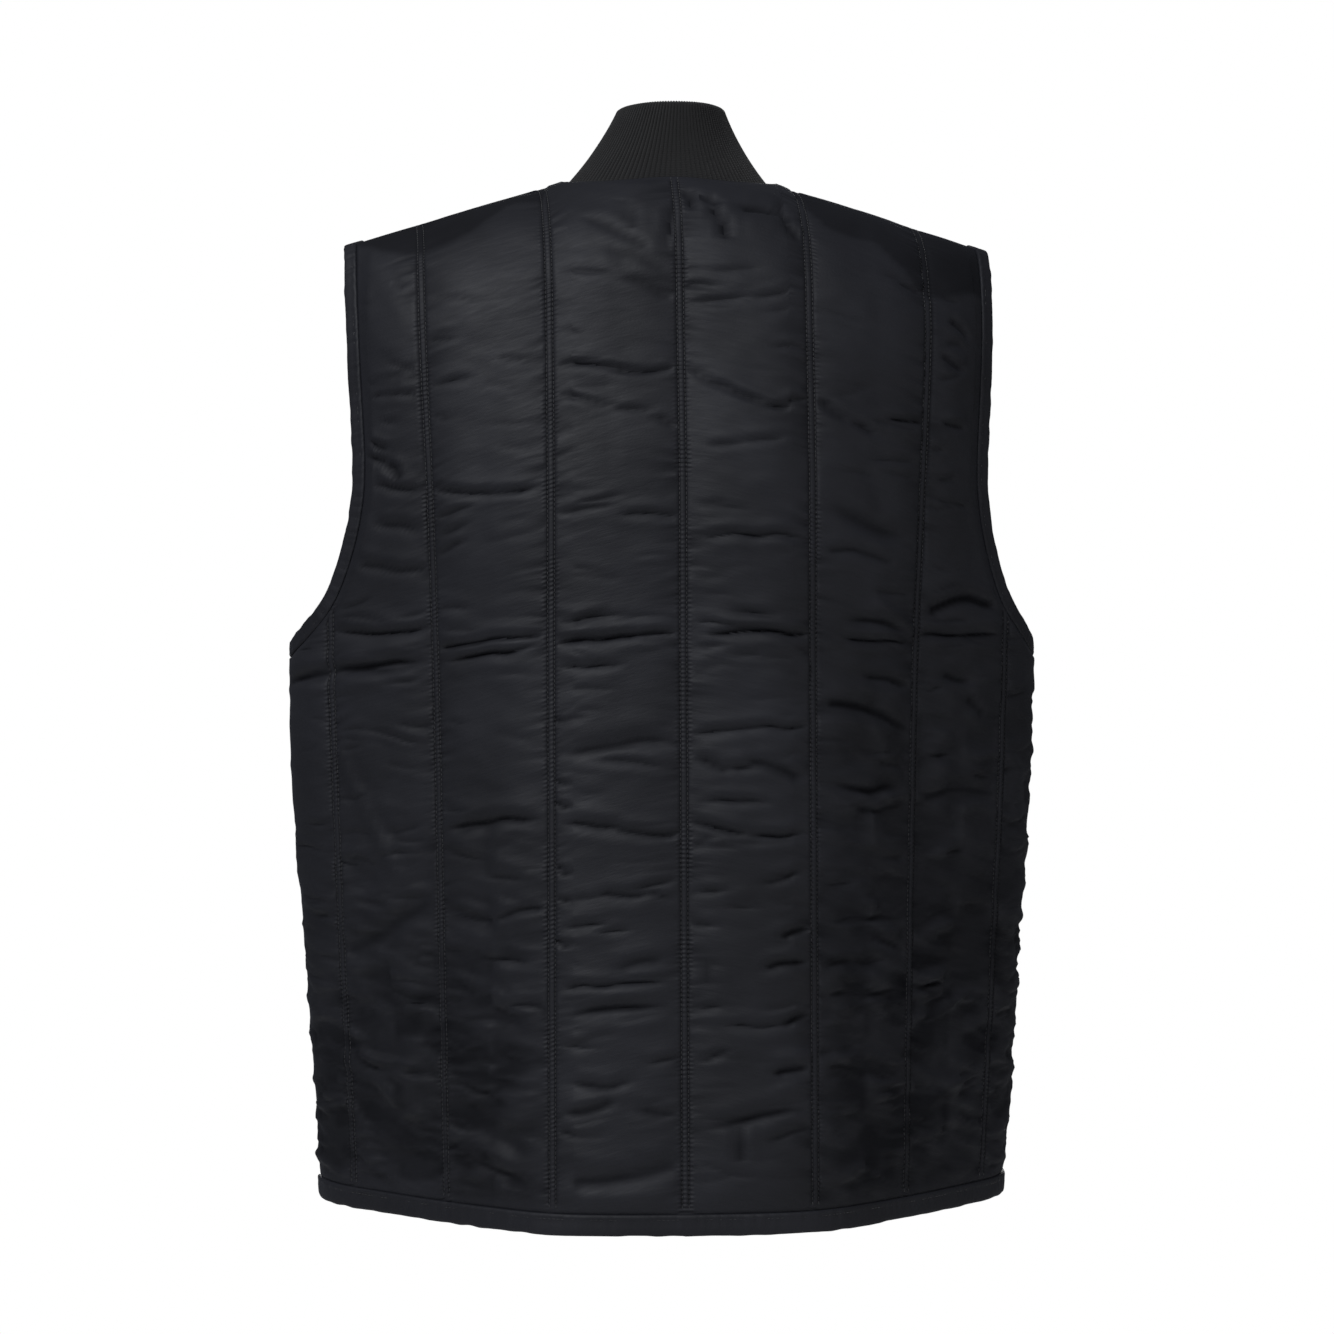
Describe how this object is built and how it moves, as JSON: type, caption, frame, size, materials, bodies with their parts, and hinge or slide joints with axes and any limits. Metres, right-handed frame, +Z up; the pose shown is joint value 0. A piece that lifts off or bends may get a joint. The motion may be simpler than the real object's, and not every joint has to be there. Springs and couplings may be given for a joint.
{
  "type": "quilted nylon gilet",
  "caption": "Sleeveless quilted nylon gilet with a ribbed standing collar, bound armholes, a hem band and a snap-fastened front, in its worn hollow shape.",
  "frame": {"origin": "midway between the two points where the neck seam meets the shoulder seams, level with them, where the garment hangs on the wearer's shoulders", "axes": "+X to the wearer's right, +Y out of the wearer's front, +Z up"},
  "size_m": [0.5302, 0.2942, 0.7689],
  "materials": {
    "quilted_nylon": "black navy nylon taffeta with a soft satin sheen",
    "rib_knit": "matte black rib knit",
    "snap_metal": "blackened brass snap caps"
  },
  "bodies": {
    "root": {"back_panel": "quilted_nylon", "front_left": "quilted_nylon", "front_right": "quilted_nylon", "collar": "rib_knit", "armhole_band_left": "quilted_nylon", "armhole_band_right": "quilted_nylon", "hem_band": "quilted_nylon", "placket": "quilted_nylon", "snap_1": "snap_metal", "snap_2": "snap_metal", "snap_3": "snap_metal", "snap_4": "snap_metal", "snap_5": "snap_metal", "snap_6": "snap_metal"}
  },
  "joints": []
}
